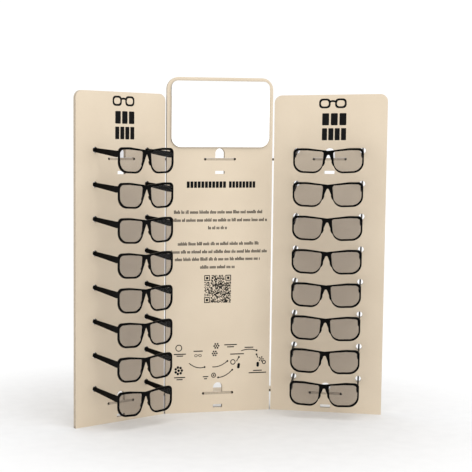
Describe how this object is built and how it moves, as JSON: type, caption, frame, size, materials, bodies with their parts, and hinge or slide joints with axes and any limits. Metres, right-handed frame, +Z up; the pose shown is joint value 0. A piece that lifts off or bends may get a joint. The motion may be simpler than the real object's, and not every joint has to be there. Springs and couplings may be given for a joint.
{
  "type": "glasses organizer",
  "caption": "Free-standing glasses organizer: three upright boards in a shallow V joined by slotted connectors, a mirror on the middle board, glasses hung by their temples on the side boards.",
  "frame": {"origin": "middle of the centre board's bottom face, at half its thickness and half its width", "axes": "+Z up, -Y to the front where the glasses hang, +X to the right as seen from the front"},
  "size_m": [0.671, 0.2006, 0.716],
  "materials": {
    "board": "smooth matt",
    "mirror": "mirror",
    "tape": "matt foam",
    "frame": "gloss",
    "lens": "clear, very slightly grey"
  },
  "bodies": {
    "stand": {"centre_panel": "board", "lower_connector": "board", "upper_connector": "board", "mirror_plate": "mirror", "mirror_tape": "tape"},
    "left_board": {"left_panel": "board"},
    "right_board": {"right_panel": "board"},
    "left_glasses_1": {"left_1_front": "frame", "left_1_lenses": "lens", "left_1_temples": "frame"},
    "left_glasses_2": {"left_2_front": "frame", "left_2_lenses": "lens", "left_2_temples": "frame"},
    "left_glasses_3": {"left_3_front": "frame", "left_3_lenses": "lens", "left_3_temples": "frame"},
    "left_glasses_4": {"left_4_front": "frame", "left_4_lenses": "lens", "left_4_temples": "frame"},
    "left_glasses_5": {"left_5_front": "frame", "left_5_lenses": "lens", "left_5_temples": "frame"},
    "left_glasses_6": {"left_6_front": "frame", "left_6_lenses": "lens", "left_6_temples": "frame"},
    "left_glasses_7": {"left_7_front": "frame", "left_7_lenses": "lens", "left_7_temples": "frame"},
    "left_glasses_8": {"left_8_front": "frame", "left_8_lenses": "lens", "left_8_temples": "frame"},
    "right_glasses_1": {"right_1_front": "frame", "right_1_lenses": "lens", "right_1_temples": "frame"},
    "right_glasses_2": {"right_2_front": "frame", "right_2_lenses": "lens", "right_2_temples": "frame"},
    "right_glasses_3": {"right_3_front": "frame", "right_3_lenses": "lens", "right_3_temples": "frame"},
    "right_glasses_4": {"right_4_front": "frame", "right_4_lenses": "lens", "right_4_temples": "frame"},
    "right_glasses_5": {"right_5_front": "frame", "right_5_lenses": "lens", "right_5_temples": "frame"},
    "right_glasses_6": {"right_6_front": "frame", "right_6_lenses": "lens", "right_6_temples": "frame"},
    "right_glasses_7": {"right_7_front": "frame", "right_7_lenses": "lens", "right_7_temples": "frame"},
    "right_glasses_8": {"right_8_front": "frame", "right_8_lenses": "lens", "right_8_temples": "frame"}
  },
  "joints": [
    {"name": "left_board_pull", "type": "slide", "parent": "stand", "child": "left_board", "axis": [0.4289, -0.9033, 0], "range_m": [0, 0.03]},
    {"name": "left_glasses_1_pull", "type": "slide", "parent": "left_board", "child": "left_glasses_1", "axis": [0.4257, -0.8966, -0.1219], "range_m": [0, 0.065]},
    {"name": "left_glasses_2_pull", "type": "slide", "parent": "left_board", "child": "left_glasses_2", "axis": [0.4257, -0.8966, -0.1219], "range_m": [0, 0.065]},
    {"name": "left_glasses_3_pull", "type": "slide", "parent": "left_board", "child": "left_glasses_3", "axis": [0.4257, -0.8966, -0.1219], "range_m": [0, 0.065]},
    {"name": "left_glasses_4_pull", "type": "slide", "parent": "left_board", "child": "left_glasses_4", "axis": [0.4257, -0.8966, -0.1219], "range_m": [0, 0.065]},
    {"name": "left_glasses_5_pull", "type": "slide", "parent": "left_board", "child": "left_glasses_5", "axis": [0.4257, -0.8966, -0.1219], "range_m": [0, 0.065]},
    {"name": "left_glasses_6_pull", "type": "slide", "parent": "left_board", "child": "left_glasses_6", "axis": [0.4257, -0.8966, -0.1219], "range_m": [0, 0.065]},
    {"name": "left_glasses_7_pull", "type": "slide", "parent": "left_board", "child": "left_glasses_7", "axis": [0.4257, -0.8966, -0.1219], "range_m": [0, 0.065]},
    {"name": "left_glasses_8_pull", "type": "slide", "parent": "left_board", "child": "left_glasses_8", "axis": [0.4257, -0.8966, -0.1219], "range_m": [0, 0.065]},
    {"name": "right_board_pull", "type": "slide", "parent": "stand", "child": "right_board", "axis": [-0.4289, -0.9033, 0], "range_m": [0, 0.03]},
    {"name": "right_glasses_1_pull", "type": "slide", "parent": "right_board", "child": "right_glasses_1", "axis": [-0.4257, -0.8966, -0.1219], "range_m": [0, 0.065]},
    {"name": "right_glasses_2_pull", "type": "slide", "parent": "right_board", "child": "right_glasses_2", "axis": [-0.4257, -0.8966, -0.1219], "range_m": [0, 0.065]},
    {"name": "right_glasses_3_pull", "type": "slide", "parent": "right_board", "child": "right_glasses_3", "axis": [-0.4257, -0.8966, -0.1219], "range_m": [0, 0.065]},
    {"name": "right_glasses_4_pull", "type": "slide", "parent": "right_board", "child": "right_glasses_4", "axis": [-0.4257, -0.8966, -0.1219], "range_m": [0, 0.065]},
    {"name": "right_glasses_5_pull", "type": "slide", "parent": "right_board", "child": "right_glasses_5", "axis": [-0.4257, -0.8966, -0.1219], "range_m": [0, 0.065]},
    {"name": "right_glasses_6_pull", "type": "slide", "parent": "right_board", "child": "right_glasses_6", "axis": [-0.4257, -0.8966, -0.1219], "range_m": [0, 0.065]},
    {"name": "right_glasses_7_pull", "type": "slide", "parent": "right_board", "child": "right_glasses_7", "axis": [-0.4257, -0.8966, -0.1219], "range_m": [0, 0.065]},
    {"name": "right_glasses_8_pull", "type": "slide", "parent": "right_board", "child": "right_glasses_8", "axis": [-0.4257, -0.8966, -0.1219], "range_m": [0, 0.065]}
  ]
}
